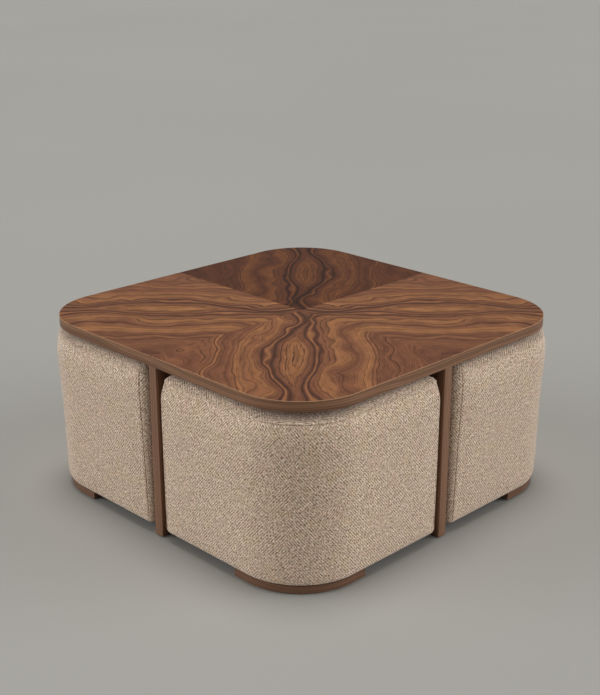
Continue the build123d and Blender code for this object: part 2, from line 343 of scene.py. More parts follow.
# From the edge of the eye outwards, in mm: where each tone is reached
RIGHT_OF_EYE = (
    (-45, "light"), (-24, "light"), (-10, "warm"), (-2, "brown"), (2, "deep"), (5, "dark"), (9, "brown"),
    (12, "light"), (16, "brown"), (21, "dark"), (26, "brown"), (32, "warm"), (46, "warm"), (64, "light"),
    (84, "warm"), (104, "brown"), (114, "warm"), (124, "warm"), (136, "light"), (150, "light"),
    (164, "warm"), (176, "brown"), (190, "warm"), (212, "brown"), (250, "warm"), (285, "brown"),
    (320, "brown"),
)
LEFT_OF_EYE = (
    (-45, "light"), (-24, "light"), (-10, "warm"), (-2, "brown"), (2, "deep"), (8, "dark"), (13, "brown"),
    (17, "light"), (21, "brown"), (26, "dark"), (31, "brown"), (44, "warm"), (58, "light"), (78, "warm"),
    (96, "light"), (112, "warm"), (119, "brown"), (128, "warm"), (146, "brown"), (156, "warm"),
    (163, "light"), (170, "warm"), (200, "warm"), (232, "brown"), (256, "warm"), (290, "brown"),
    (320, "brown"),
)
FIRST_RING, LAST_RING = RIGHT_OF_EYE[0][0], RIGHT_OF_EYE[-1][0]


def ring_stops(table, depth):
    """Ramp stops of a table of distances in mm; depth 0 leaves all of the middle tone."""
    middle = np.array(srgb(WALNUT["warm"]))
    stops = []
    for mm, tone in table:
        colour = middle + depth * (np.array(srgb(WALNUT[tone])) - middle)
        stops.append(((mm - FIRST_RING) / (LAST_RING - FIRST_RING), tuple(colour)))
    return stops


def year_rings(tree, growth, side, spacing, seed):
    """Darkness of growth rings: each year deepens slowly and ends at a sharp dark edge.

    The growth is divided by the spacing, both in mm, and shifted by a slow noise, which is told
    apart on the two sides of the eye by 400 mm. Its fraction is the time of year and its whole part
    picks how strong that year's edge is.
    """
    told_apart = add(tree, "ShaderNodeMath", {0: side, 1: 400.0, 2: growth},
                     operation="MULTIPLY_ADD")["Value"]
    slow_at = add(tree, "ShaderNodeMath", {0: told_apart, 1: 0.35 / spacing}, operation="MULTIPLY")["Value"]
    slow = add(tree, "ShaderNodeTexNoise", {"W": slow_at, "Scale": 1.0, "Detail": 1.0},
               noise_dimensions="1D")["Fac"]
    years = add(tree, "ShaderNodeMath", {0: growth, 1: 1 / spacing}, operation="MULTIPLY")["Value"]
    years = add(tree, "ShaderNodeMath", {0: slow, 1: 1.5, 2: years}, operation="MULTIPLY_ADD")["Value"]
    season = add(tree, "ShaderNodeMath", {0: years}, operation="FRACT")["Value"]
    year = add(tree, "ShaderNodeMath", {0: years}, operation="FLOOR")["Value"]
    year = add(tree, "ShaderNodeMath", {0: year, 1: seed + 0.5}, operation="ADD")["Value"]
    chance = add(tree, "ShaderNodeTexWhiteNoise", {"W": year}, noise_dimensions="1D")["Value"]
    edge = add(tree, "ShaderNodeMapRange", {"Value": chance, "To Min": 0.1, "To Max": 1.0})["Result"]
    curve = add(tree, "ShaderNodeValToRGB", {"Fac": season}, stops=[
        (0.0, (0.7, 0.7, 0.7, 1)), (0.09, (0, 0, 0, 1)), (0.35, (0.03, 0.03, 0.03, 1)),
        (0.7, (0.24, 0.24, 0.24, 1)), (0.88, (0.75, 0.75, 0.75, 1)), (1.0, (1, 1, 1, 1))])["Color"]
    return add(tree, "ShaderNodeMath", {0: curve, 1: edge}, operation="MULTIPLY")["Value"]


def fibre_streaks(tree, surface, grain, cells, detail, relief):
    """Fine streaks along the grain, with their cells per metre; gives their noise and their tone.

    The tone goes from 0.84 to 1.14, and a faint relief of 0.2 mm is put on the surface.
    """
    at = add(tree, "ShaderNodeMapping", {"Vector": grain, "Scale": cells})["Vector"]
    fibre = add(tree, "ShaderNodeTexNoise", {"Vector": at, "Scale": 1.0, "Detail": detail})["Fac"]
    tone = add(tree, "ShaderNodeMapRange", {"Value": fibre, "From Min": 0.3, "From Max": 0.7,
                                            "To Min": 0.84, "To Max": 1.14})["Result"]
    bump = add(tree, "ShaderNodeBump", {"Height": fibre, "Strength": relief, "Distance": 0.0002})["Normal"]
    tree.links.new(bump, surface.inputs["Normal"])
    return fibre, tone


def crotch_veneer(name, depth, lift, warmth, wide_spacing=13.0, close_spacing=5.2):
    """Walnut crotch veneer whose colours and fine lines follow the growth field.

    The depth spreads its tones, the lift makes the whole leaf lighter or darker, the warmth shifts
    its red, green and blue, and the spacings are those of its wide and close rings in mm. On the
    far leaf the low lift and the warmer tint are a painted shade.
    """
    material, tree, surface = finish_named(name, 0.45, IOR=1.5, Specular_IOR_Level=0.06)
    growth, side, steep, sanded = [
        add(tree, "ShaderNodeAttribute", attribute_name=measure)["Fac"]
        for measure in ("growth", "side", "steep", "sanded")
    ]
    grain = add(tree, "ShaderNodeUVMap", uv_map="grain")["UV"]
    noises = []
    for cells, detail in (
        ((420, 55, 1), 2.0),  # the rings' edges are ragged, 2.4 by 18 mm
        ((38, 24, 1), 2.0),  # the rings swirl, 26 by 42 mm
        ((16, 7, 1), 2.0),  # the rings are strong in some patches and faint in others, 62 by 140 mm
        # painted sheen: the soft clouds stand for the shimmer of the crotch figure
        ((46, 26, 1), 4.0),  # soft clouds, 22 by 38 mm
    ):
        at = add(tree, "ShaderNodeMapping", {"Vector": grain, "Scale": cells})["Vector"]
        noise = add(tree, "ShaderNodeTexNoise", {"Vector": at, "Scale": 1.0, "Detail": detail})["Fac"]
        noises.append(noise)
    ragged, swirl, patch, cloud = noises
    # The shake and the swirl move a ring by up to 0.9 and 5 mm
    shake = add(tree, "ShaderNodeMapRange", {"Value": ragged, "To Min": -0.9, "To Max": 0.9})["Result"]
    swirl = add(tree, "ShaderNodeMapRange", {"Value": swirl, "To Min": -5.0, "To Max": 5.0})["Result"]
    rings = add(tree, "ShaderNodeMath", {0: growth, 1: shake}, operation="ADD")["Value"]
    wavy = add(tree, "ShaderNodeMath", {0: rings, 1: swirl}, operation="ADD")["Value"]
    along_ramp = add(tree, "ShaderNodeMapRange", {"Value": rings, "From Min": FIRST_RING,
                                                  "From Max": LAST_RING})["Result"]
    left, right = [
        add(tree, "ShaderNodeValToRGB", {"Fac": along_ramp}, stops=ring_stops(table, depth))["Color"]
        for table in (LEFT_OF_EYE, RIGHT_OF_EYE)
    ]
    colour = add(tree, "ShaderNodeMix", {"Factor": side, MIX_A: left, MIX_B: right},
                 data_type="RGBA")[MIXED]
    # Wide and close rings, each more or less strong from patch to patch
    wide_rings = year_rings(tree, wavy, side, wide_spacing, 3)
    close_rings = year_rings(tree, wavy, side, close_spacing, 40)
    wide_amount = add(tree, "ShaderNodeMapRange", {"Value": patch, "From Min": 0.35, "From Max": 0.65,
                                                   "To Min": 0.6 * depth, "To Max": 0.98 * depth})["Result"]
    close_amount = add(tree, "ShaderNodeMapRange", {"Value": patch, "From Min": 0.4, "From Max": 0.6,
                                                    "To Min": 0.78 * depth, "To Max": 0.3 * depth})["Result"]
    ink = add(tree, "ShaderNodeMath", {0: wide_rings, 1: wide_amount}, operation="MULTIPLY")["Value"]
    ink = add(tree, "ShaderNodeMath", {0: close_rings, 1: close_amount, 2: ink},
              operation="MULTIPLY_ADD")["Value"]
    # Where the cut runs along a ring it smears out, so steep growth keeps its ink and flat loses it;
    # the double band round the eye has its own tones and counts as flat
    kept = add(tree, "ShaderNodeMapRange", {"Value": steep, "From Min": 0.1, "From Max": 0.75,
                                            "To Min": 0.25, "To Max": 1.0})["Result"]
    ink = add(tree, "ShaderNodeMath", {0: ink, 1: kept}, operation="MULTIPLY")["Value"]
    # Fibre streaks of 0.9 by 38 mm, and the clouds, a painted sheen, which carry the leaf's lift; on
    # the far leaf that lift is a painted shade
    fibre, fibre_tone = fibre_streaks(tree, surface, grain, (1100, 26, 1), 3.0, 0.12)
    cloud_tone = add(tree, "ShaderNodeMapRange", {"Value": cloud, "From Min": 0.3, "From Max": 0.7,
                                                  "To Min": 0.92 * lift, "To Max": 1.34 * lift})["Result"]
    tone = add(tree, "ShaderNodeMath", {0: fibre_tone, 1: cloud_tone}, operation="MULTIPLY")["Value"]
    colour = add(tree, "ShaderNodeVectorMath", {0: colour, "Scale": tone}, operation="SCALE")["Vector"]
    colour = add(tree, "ShaderNodeVectorMath", {0: colour, 1: warmth}, operation="MULTIPLY")["Vector"]
    colour = add(tree, "ShaderNodeMix", {"Factor": ink, MIX_A: colour, MIX_B: srgb("#3E241A")},
                 data_type="RGBA")[MIXED]
    # The sanded arris is painted paler: bare wood, and a painted highlight where the light catches it
    pale = add(tree, "ShaderNodeMath", {0: sanded, 1: 0.6}, operation="MULTIPLY")["Value"]
    colour = add(tree, "ShaderNodeMix", {"Factor": pale, MIX_A: colour, MIX_B: srgb("#C09A78")},
                 data_type="RGBA")[MIXED]
    tree.links.new(colour, surface.inputs["Base Color"])
    gloss = add(tree, "ShaderNodeMapRange", {"Value": fibre, "To Min": 0.38, "To Max": 0.52})["Result"]
    tree.links.new(gloss, surface.inputs["Roughness"])
    return material


VENEERS = {
    "front": crotch_veneer("walnut_crotch_veneer_satin_lacquer_near", 1.12, 0.88, (1, 0.98, 0.96)),
    # Painted shade: the far leaf's low lift of 0.4 and its warmer tint stand for crotch wood seen against the
    # light
    "back": crotch_veneer("walnut_crotch_veneer_satin_lacquer_far_painted_shade", 1.25, 0.4, (1.06, 0.86, 0.72)),
}
VENEERS["left"] = VENEERS["right"] = crotch_veneer(
    "walnut_crotch_veneer_satin_lacquer_across", 1.12, 0.9, (1, 1.01, 0.97), 25.0, 10.0)
print("crotch veneers made")

# %% [markdown]
# ## Four quarters of veneer
#
# Each quarter is a thin leaf: two straight joints meet at the table's centre, and the outer edge
# follows the round corner with a small sanded arris, painted paler as bare wood and as a painted
# highlight where it catches the light. The leaf is a surface of two parameters, round the outline
# and from its middle to its edge, so the growth field can be worked out for every point of it. The
# leaf takes the place of the plain one of the frame.

# %% Veneer leaves
# Radius of the table's corners, half its width, and the middle of a leaf along both its joints, in mm
CORNER = 160.0
HALF = 450.0
LEAF_MIDDLE = 210.0


def leaf_outline(columns=560):
    """Outline of a quarter in mm, anticlockwise: joint, outer side, round corner, side, joint."""
    turn = np.linspace(0, np.pi / 2, 90)
    arc = HALF - CORNER + CORNER * np.stack([np.cos(turn), np.sin(turn)], axis=-1)
    corners = np.vstack([[0, 0], [HALF, 0], arc, [0, HALF], [0, 0]])
    length = np.concatenate([[0], np.cumsum(np.hypot(*np.diff(corners, axis=0).T))])
    at = np.sort(np.concatenate([np.linspace(0, length[-1], columns, endpoint=False), length[1:-1]]))
    return np.stack([np.interp(at, length, corners[:, k]) for k in (0, 1)], axis=-1)


def leaf_points(rings=130, arris=0.9, arris_drop=0.8, thickness=1.5, top=430.0):
    """Rings of the leaf from its middle to its edge, over the arris and back under, in mm.

    The rings close up towards the edge by a quarter sine to the power 0.9. Also gives how much of
    the sanded arris, painted paler as bare wood and as a painted highlight, each point carries: all
    of it on the outer edge, none along the two joints, where the leaves meet flush.
    """
    outline = leaf_outline()
    middle = np.full(2, LEAF_MIDDLE)
    outer = (outline.min(axis=1) > 0.01).astype(float)
    length = np.linalg.norm(outline - middle, axis=-1)
    rim = middle + (outline - middle) * (1 - outer * arris / length)[:, None]
    share = np.sin(np.linspace(0.012, 1, rings) * np.pi / 2) ** 0.9
    flat = middle + share[:, None, None] * (rim - middle)
    under = [middle + (outline - middle) * part for part in (1, 1, 0.5, 0.01)]
    plan = np.concatenate([flat, np.stack(under)])
    height = np.append(np.full(rings, top), [top - arris_drop] + 3 * [top - thickness])
    points = np.concatenate([plan, np.broadcast_to(height[:, None, None], (*plan.shape[:2], 1))], axis=-1)
    sanded = np.zeros(points.shape[:2])
    sanded[rings - 1:rings + 1] = outer
    return points, sanded


leaf, sanded = leaf_points()
for place, turn in PLACES.items():
    points = turned(leaf, turn)
    vertices, faces = sheet_of_points(points, wrap=True, poles=(True, True))
    x, y = vertices[:, 0], vertices[:, 1]
    rightward, nearer = (x + y) * np.sqrt(0.5), (x - y) * np.sqrt(0.5)
    across, along = {
        "front": (rightward, nearer), "back": (-rightward, -nearer),
        "right": (nearer, rightward), "left": (nearer, -rightward),
    }[place]
    growth, side = growth_field(across, along)
    # How fast the growth changes in each direction, and less where the double band is
    slope_across = (growth_field(across + 1, along)[0] - growth_field(across - 1, along)[0]) / 2
    slope_along = (growth_field(across, along + 1)[0] - growth_field(across, along - 1)[0]) / 2
    steep = np.hypot(slope_across, slope_along) * (1 - 0.75 * np.exp(-(((growth - 12) / 16) ** 2)))
    made = piece_of(f"{place}_veneer_leaf", vertices * MM, faces, VENEERS[place], smooth=False)
    # The sanded values carry the arris's pale bare wood and its painted highlight
    for layer, values in (("growth", growth), ("side", side), ("steep", steep),
                          ("sanded", np.append(sanded, [0, 0]))):
        mesh_data(made, layer, values)
    corner = np.zeros(len(made.data.loops), dtype=np.int32)
    made.data.loops.foreach_get("vertex_index", corner)
    grain_map = made.data.uv_layers.new(name="grain")
    grain_map.data.foreach_set("uv", (np.stack([across, along], axis=-1)[corner] * MM).ravel())
    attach(made, "table")
    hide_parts(f"veneer_{place}")
    print(made.name, len(made.data.polygons), "faces; growth", round(growth.min()), "to", round(growth.max()))

# %% [markdown]
# ## The form of a pouf
#
# A pouf is a plywood box padded all round and under a seat pad, with a tight cover sewn from a top
# panel and a side band. Its plan is a quarter of the table: two straight inner sides, two outer sides
# and the table's own wide corner between them. The outer sides lean out by 8 mm from hem to seam, and
# the upright corners get rounder as they rise, since the padding there has only the seam to hold it.
#
# The plan is written once, as four quarter circles joined by straights, for a whole column of
# heights. The profile gives height and inset of each ring: in from the middle of the underside, over
# the hem, up the side, into the stitched seam, over the shoulder and up the crown.

# %% Pouf surface
# In mm: the inner sides' distance from the table's middle, the levels of the hem, the base and the
# seam, how far the outer sides lean out, and the insets of the hem's edge, shoulder and crown
NEAR = 22.5
HEM_BOTTOM = 20.0
BASE_UP = 21.8
SEAM_UP = 379.9
LEAN = 8.0
HEM_TURN = 26.0
SHOULDER_FROM, SHOULDER_WIDE = 8.2, 18.0
CROWN_FROM = 26.0
# Middle of a pouf's plan along both inner sides
POUF_MIDDLE = 232.0


def quarter_turn(centre_x, centre_y, radius, start, count):
    """Points on quarter circles, one for each row, from the start angle anticlockwise."""
    angle = np.radians(start + np.linspace(0, 90, count))
    x = centre_x[:, None] + radius[:, None] * np.cos(angle)
    y = centre_y[:, None] + radius[:, None] * np.sin(angle)
    return np.stack([x, y], axis=-1)


def pouf_plan(reach, near, near_round, far_round, counts=(60, 60, 34, 56)):
    """Plans of a pouf, one for each row, as an array [rows, columns, 2] in mm, anticlockwise.

    Four quarter circles are joined by straights; counts are the columns of an inner straight, an
    outer straight, a near corner and the far corner. On an outer straight the columns open up by
    a square law away from the near corner, where the upright seam needs them close.
    """
    inner, outer, tight, wide = counts
    arcs = [
        quarter_turn(reach - near_round, near + near_round, near_round, -90, tight),
        quarter_turn(reach - far_round, reach - far_round, far_round, 0, wide),
        quarter_turn(near + near_round, reach - near_round, near_round, 90, tight),
        quarter_turn(near + near_round, near + near_round, near_round, 180, tight),
    ]
    even = np.arange(1, inner + 1) / (inner + 1)
    opening = np.arange(1, outer + 1) / (outer + 1)
    opening = 0.35 * opening + 0.65 * opening ** 2
    parts = []
    shares = (opening, 1 - opening[::-1], even, even)
    for arc, following, share in zip(arcs, arcs[1:] + arcs[:1], shares):
        share = share[None, :, None]
        parts += [arc, arc[:, -1:] * (1 - share) + following[:, :1] * share]
    return np.concatenate(parts, axis=1)


def tucked_in(height):
    """Inset in mm of the upper side, which leans back to the seam by a square law over 50 mm."""
    return 8.0 * np.clip((height - 331) / 50, 0, 1) ** 2


def pouf_profile():
    """Rows of the pouf: height, inset of the outline, and pull towards the middle from 0 to 1.

    The seam is a groove 2.2 mm deep, the shoulder nearly a quarter of an ellipse, and the crown a
    parabola that rises by 7.6 mm from its edge to the middle.
    """
    under = [(BASE_UP, HEM_TURN, pull) for pull in (0.96, 0.8, 0.6, 0.4, 0.2, 0.08, 0)]
    turned_in = [(20.6, 25.0, 0), (20.0, 22.0, 0), (20.0, 14.0, 0), (20.2, 9.5, 0)]
    hem = [(20.9, 6.6, 0), (22.3, 4.2, 0), (24.4, 2.3, 0), (27.4, 0.9, 0), (31.0, 0.2, 0)]
    side = [(height, tucked_in(height), 0) for height in np.linspace(35, 368, 67)]
    seam = [(height, tucked_in(height) + groove, 0) for height, groove in
            ((371.5, 0), (374.5, 0), (376.8, 0), (378.5, 0.4), (SEAM_UP, 2.2), (381.3, 0.4), (383.2, 0))]
    shoulder = [(380.8 + 12.4 * np.sin(turn), SHOULDER_FROM + SHOULDER_WIDE * (1 - np.cos(turn)), 0)
                for turn in np.radians(np.linspace(16, 86, 15))]
    crown = [(401.0 - 7.6 * (1 - pull) ** 2, CROWN_FROM, pull) for pull in np.linspace(0.01, 0.97, 36)]
    return np.array(under + turned_in + hem + side + seam + shoulder + crown)


PROFILE = pouf_profile()
SEAM_ROW = int(np.argmin(np.abs(PROFILE[:, 0] - SEAM_UP) + PROFILE[:, 2]))
CROWN_ROW = int(np.argmax(PROFILE[:, 1] == PROFILE[-1, 1]))


def pouf_points():
    """Surface of the pouf in the quarter of positive x and y, in mm, as [rows, columns, 3].

    The upright corners get rounder from 15 mm at the hem to 26 mm at the seam, by height to the
    power 1.5. Over the wide corner the shoulder falls away further than over the sides, so its
    radius in plan grows by 60 mm up to the crown.
    """
    height, inset, pull = PROFILE.T
    rise = np.clip((height - HEM_BOTTOM) / (SEAM_UP - HEM_BOTTOM), 0, 1)
    reach = HALF + LEAN * rise - inset
    near_round = np.maximum(15 + 11 * rise ** 1.5 - 0.6 * inset, 5)
    falling_away = 60 * np.clip((inset - SHOULDER_FROM) / SHOULDER_WIDE, 0, 1) * (height > SEAM_UP)
    plan = pouf_plan(reach, NEAR + inset, near_round, np.maximum(CORNER - inset, 20) + falling_away)
    plan = plan + pull[:, None, None] * (np.full(2, POUF_MIDDLE) - plan)
    return np.concatenate([plan, np.broadcast_to(height[:, None, None], (*plan.shape[:2], 1))], axis=-1)


grid = pouf_points()
print("pouf grid:", grid.shape, "seam at row", SEAM_ROW, "of height", PROFILE[SEAM_ROW, 0])

# %% [markdown]
# ## Swelling the cover
#
# A tight cover over foam is never flat. The foam pushes it out between the seams, and the seams hold
# it back, so each face swells by a few millimetres and the light slides over it. The swelling is
# found with a short cloth simulation on every second row and column of the same grid: a little
# pressure from inside, no gravity, the hem and all seams pinned. The movement is softly held under
# 6 mm, and the finer grid takes it over by midpoints between the rows and columns. One result serves
# all four poufs, as one pattern does in the workshop.

# %% Cloth simulation of the cover
# Columns of the upright seams, the last pinned row of the hem, the number of frames, and the most
# that the cover may swell, in mm
NEAR_SEAMS = (26, 218, 311)
HEM_ROW = 14
FRAMES = 20
MOST_SWELL = 6.0
# A light cover that resists being pulled more than being bent, and starts 1.2 % loose
COVER_CLOTH = {
    "quality": 7, "mass": 0.35, "tension_stiffness": 22, "compression_stiffness": 12,
    "shear_stiffness": 6, "bending_stiffness": 1.5, "use_pressure": True,
    "uniform_pressure_force": 4.0, "shrink_min": -0.012, "vertex_group_mass": "sewn",
}


def with_midpoints(values, axis, wrap):
    """Doubles the samples along an axis; a new one is 9/16 of its neighbours less 1/16 of the next."""
    mode = "wrap" if wrap else "edge"
    padding = [(0, 0)] * values.ndim
    padding[axis] = (1, 2)
    wide = np.moveaxis(np.pad(values, padding, mode=mode), axis, 0)
    between = (9 * (wide[1:-2] + wide[2:-1]) - wide[:-3] - wide[3:]) / 16
    woven = np.stack([np.moveaxis(values, axis, 0), between], axis=1).reshape(-1, *between.shape[1:])
    return np.moveaxis(woven, 0, axis)


def swell_of(points):
    """Movement of the cover under pressure, as an array of the same shape as points, in mm.

    A movement m becomes m / (1 + m / 6): a small one hardly changes, and none passes 6 mm.
    """
    coarse = points[::2, ::2]
    vertices, faces = sheet_of_points(coarse, wrap=True, poles=(True, True))
    cloth = piece_of("cover_pattern", vertices * MM, faces)
    hold = cloth.vertex_groups.new(name="sewn")
    index = np.arange(coarse.shape[0] * coarse.shape[1]).reshape(coarse.shape[:2])
    rows = np.arange(coarse.shape[0]) * 2
    hold.add(index[rows <= HEM_ROW].ravel().tolist() + [len(vertices) - 2], 1.0, "REPLACE")
    hold.add(index[np.abs(rows - SEAM_ROW) <= 1].ravel().tolist(), 1.0, "REPLACE")
    for column in NEAR_SEAMS:
        hold.add(index[:(SEAM_ROW + 2) // 2, round(column / 2)].tolist(), 0.9, "REPLACE")
    setup = cloth.modifiers.new("cover", "CLOTH")
    for setting, value in COVER_CLOTH.items():
        setattr(setup.settings, setting, value)
    setup.settings.effector_weights.gravity = 0
    setup.collision_settings.use_collision = False
    setup.point_cache.frame_start = 1
    setup.point_cache.frame_end = FRAMES
    scene = bpy.context.scene
    for moment in range(FRAMES):
        scene.frame_set(moment + 1)
    solved = cloth.evaluated_get(bpy.context.evaluated_depsgraph_get()).to_mesh()
    found = np.zeros(len(vertices) * 3)
    solved.vertices.foreach_get("co", found)
    scene.frame_set(1)
    moved = (found.reshape(-1, 3) / MM - vertices)[:index.size].reshape(coarse.shape)
    bpy.data.objects.remove(cloth)
    length = np.linalg.norm(moved, axis=-1, keepdims=True)
    moved = moved / (1 + length / MOST_SWELL)
    print("cover moved by up to", round(float(length.max()), 1), "mm, softly kept under", MOST_SWELL)
    return with_midpoints(with_midpoints(moved, 0, False), 1, True)[:points.shape[0], :points.shape[1]]


swell = swell_of(grid)

# A row where the sides are plain, for lengths round the pouf
LEVEL_ROW = 60


def row_normals(points):
    """Unit normals of a wrapped grid of points, from its row and column differences."""
    down = np.gradient(points, axis=0)
    round_ = np.roll(points, -1, axis=1) - np.roll(points, 1, axis=1)
    normal = np.cross(round_, down)
    return normal / np.maximum(np.linalg.norm(normal, axis=-1, keepdims=True), 1e-9)


def sewn_form(points, moved):
    """The swelled pouf with its upright seams drawn in and a soft unevenness over its padding.

    The walls of the box stand right behind the cover at the inner sides and at the upright
    corners beside the dividers, so the swelling fades there by a smooth step of 60 mm. It is
    halved where the cover is stretched round the wide corner, and low on top, where people sit. Each
    upright seam is a narrow bell-shaped groove with a shallower one of topstitching beside it.
    """
    level = points[LEVEL_ROW]
    around = np.linalg.norm(np.diff(level, axis=0, prepend=level[:1]), axis=-1).cumsum()
    first, last = around[NEAR_SEAMS[0]], around[NEAR_SEAMS[1]]
    free = np.clip(np.minimum(around - first, last - around) / 60, 0, 1)
    free = 0.2 + 0.8 * free * free * (3 - 2 * free)
    round_corner = np.exp(-(((around - (first + last) / 2) / 150) ** 4))
    hold = free * (1 - 0.55 * round_corner)
    above = np.clip((np.arange(len(points)) - SEAM_ROW - 4) / 12, 0, 1)[:, None]
    hold = hold[None, :] * (1 - above) + 0.35 * above
    shaped = points + moved * hold[..., None]
    upright = np.zeros(len(around))
    for seam, corner_side in zip(NEAR_SEAMS, (-1, 1, 1)):
        beyond = (around - around[seam]) * corner_side
        upright += np.exp(-((beyond / 1.2) ** 2)) + 0.5 * np.exp(-(((beyond + 5.2) / 1.1) ** 2))
        upright -= 0.4 * np.exp(-(((beyond + 2.6) / 1.3) ** 2))
    side = np.clip((PROFILE[:, 0] - 26) / 12, 0, 1) * (np.arange(len(PROFILE)) <= SEAM_ROW)
    along, height = np.broadcast_arrays(around[None, :], PROFILE[:, :1])
    uneven = 0.9 * drift(along, height, 120, 90, 7) + 0.3 * drift(along, height, 34, 40, 8)
    shift = (uneven * free[None, :] - 1.8 * upright[None, :]) * side[:, None]
    return shaped + row_normals(shaped) * shift[..., None]


pouf_form = sewn_form(grid, swell)
print("pouf form spans", np.round(pouf_form.min(axis=(0, 1))), "to", np.round(pouf_form.max(axis=(0, 1))))

# %% [markdown]
# ## Upholstery fabric
#
# The cover is a chunky wool and linen tweed. Its yarns are a few millimetres thick and cross in
# diagonal ribs that change direction from patch to patch, and each rib is spun from fibres of cream,
# sand, pink-grey and brown. From a few metres away the eye gets short diagonal strokes, pale on the
# crown of a rib and dark in the gap, and the colour paints these as highlight and shade.
#
# The pattern is laid in millimetres of cloth: round and up on the side band, straight across on the
# top panel, so it breaks at the seam as cut cloth does. The surface scatters light broadly and shows
# a little bloom at grazing angles from loose fibres, which is what sheen gives.

# %% Tweed
# Distance from rib to rib, in m, and the angle at which the two sets of ribs climb, in degrees
RIB_PITCH = 0.0049
RIB_LEAN = 40


def tweed(name):
    """Tweed of crossed diagonal ribs; the cloth map is in metres."""
    material, tree, surface = finish_named(name, 0.96, Specular_IOR_Level=0.15, IOR=1.5, Sheen_Weight=0.35,
                                           Sheen_Roughness=0.55)
    cloth = add(tree, "ShaderNodeUVMap", uv_map="cloth")["UV"]
    # Hand-spun yarn wanders by up to 1.2 mm over 25 mm
    wander = add(tree, "ShaderNodeTexNoise", {"Vector": cloth, "Scale": 40.0, "Detail": 1.0})["Color"]
    wandered = add(tree, "ShaderNodeVectorMath", {0: wander, 1: (0.0012, 0.0012, 0.0), 2: cloth},
                   operation="MULTIPLY_ADD")["Vector"]
    # Each set of ribs is a sine across them, broken up in lengths of 5.3 mm and widths of 2.8 mm
    heights = []
    for lean in (RIB_LEAN, -RIB_LEAN):
        rib_at = add(tree, "ShaderNodeMapping", {"Vector": wandered, "Rotation": (0, 0, np.radians(lean))},
                     vector_type="TEXTURE")["Vector"]
        across, along, _ = add(tree, "ShaderNodeSeparateXYZ", {"Vector": rib_at}).values()
        turns = add(tree, "ShaderNodeMath", {0: across, 1: 2 * np.pi / RIB_PITCH},
                    operation="MULTIPLY")["Value"]
        ribs = add(tree, "ShaderNodeMath", {0: turns}, operation="SINE")["Value"]
        broken_at = add(tree, "ShaderNodeMapping", {"Vector": rib_at, "Scale": (1 / 360, 1 / 190, 1)},
                        vector_type="TEXTURE")["Vector"]
        broken = add(tree, "ShaderNodeTexNoise", {"Vector": broken_at, "Scale": 1.0, "Detail": 1.5})["Fac"]
        heights.append(add(tree, "ShaderNodeMath", {0: ribs, 1: 0.098, 2: broken},
                           operation="MULTIPLY_ADD")["Value"])
    # Patches of 67 mm show one set or the other, and the lay of the cut favours one of them. A Mix
    # node for numbers takes them at inputs 2 and 3 and gives output 0
    patch = add(tree, "ShaderNodeTexNoise", {"Vector": cloth, "Scale": 15.0, "Detail": 2.0})["Fac"]
    lay = add(tree, "ShaderNodeAttribute", attribute_name="lay")["Fac"]
    patch = add(tree, "ShaderNodeMath", {0: patch, 1: lay}, operation="ADD")["Value"]
    which = add(tree, "ShaderNodeMapRange", {"Value": patch, "From Min": 0.46, "From Max": 0.54})["Result"]
    rib = add(tree, "ShaderNodeMix", {"Factor": which, 2: heights[0], 3: heights[1]}, data_type="FLOAT")[0]
    # Flecks of fibre 2.3 mm wide, each of one dye, over the yarn's colour, painted darker in the gaps
    # between ribs as shade and paler on their crowns as a highlight
    fleck = add(tree, "ShaderNodeTexVoronoi", {"Vector": wandered, "Scale": 430.0, "Randomness": 1.0})
    fleck = add(tree, "ShaderNodeSeparateColor", {"Color": fleck["Color"]})["Red"]
    yarn_colour_and_rib_shading = add(tree, "ShaderNodeValToRGB", {"Fac": rib}, stops=[
        (0.28, "#7E6A58"), (0.40, "#B39F8B"), (0.50, "#DCCAB6"), (0.62, "#F2E6D6"),
        (0.75, "#FFF8EC")])["Color"]
    dyed = add(tree, "ShaderNodeValToRGB", {"Fac": fleck}, stops=[
        (0.0, "#BFA594"), (0.2, "#DCCBBE"), (0.45, "#F0E5DB"), (0.7, "#E6D6C9"), (1.0, "#FFFAF3")])["Color"]
    mixed = add(tree, "ShaderNodeMix", {"Factor": 0.75, MIX_A: yarn_colour_and_rib_shading, MIX_B: dyed}, data_type="RGBA",
                blend_type="MULTIPLY")[MIXED]
    # Yarn of uneven thickness makes lighter and darker spots of 12 mm and less
    soft = add(tree, "ShaderNodeTexNoise", {"Vector": cloth, "Scale": 80.0, "Detail": 3.0,
                                            "Roughness": 0.7})["Fac"]
    soft_tone = add(tree, "ShaderNodeMapRange", {"Value": soft, "From Min": 0.3, "From Max": 0.7,
                                                 "To Min": 0.89, "To Max": 1.2})["Result"]
    # Wool takes the dye unevenly, so some spots of 40 mm are yellower and some pinker
    blush = add(tree, "ShaderNodeTexNoise", {"Vector": cloth, "Scale": 24.0, "Detail": 2.0})["Fac"]
    blush = add(tree, "ShaderNodeValToRGB", {"Fac": blush}, stops=[
        (0.36, "#FFFCF5"), (0.48, "#FFFFFF"), (0.64, "#FFF9F9")])["Color"]
    mixed = add(tree, "ShaderNodeMix", {"Factor": 1.0, MIX_A: mixed, MIX_B: blush}, data_type="RGBA",
                blend_type="MULTIPLY")[MIXED]
    colour = add(tree, "ShaderNodeVectorMath", {0: mixed, "Scale": soft_tone}, operation="SCALE")["Vector"]
    tree.links.new(colour, surface.inputs["Base Color"])
    bump = add(tree, "ShaderNodeBump", {"Height": rib, "Strength": 0.42, "Distance": 0.0012})["Normal"]
    tree.links.new(bump, surface.inputs["Normal"])
    return material


tweed_cover = tweed("wool_and_linen_tweed_crossed_twill")
thread, tree, surface = finish_named("waxed_linen_sewing_thread_pale", 0.7, Sheen_Weight=0.2)
where = add(tree, "ShaderNodeTexCoord")["Object"]
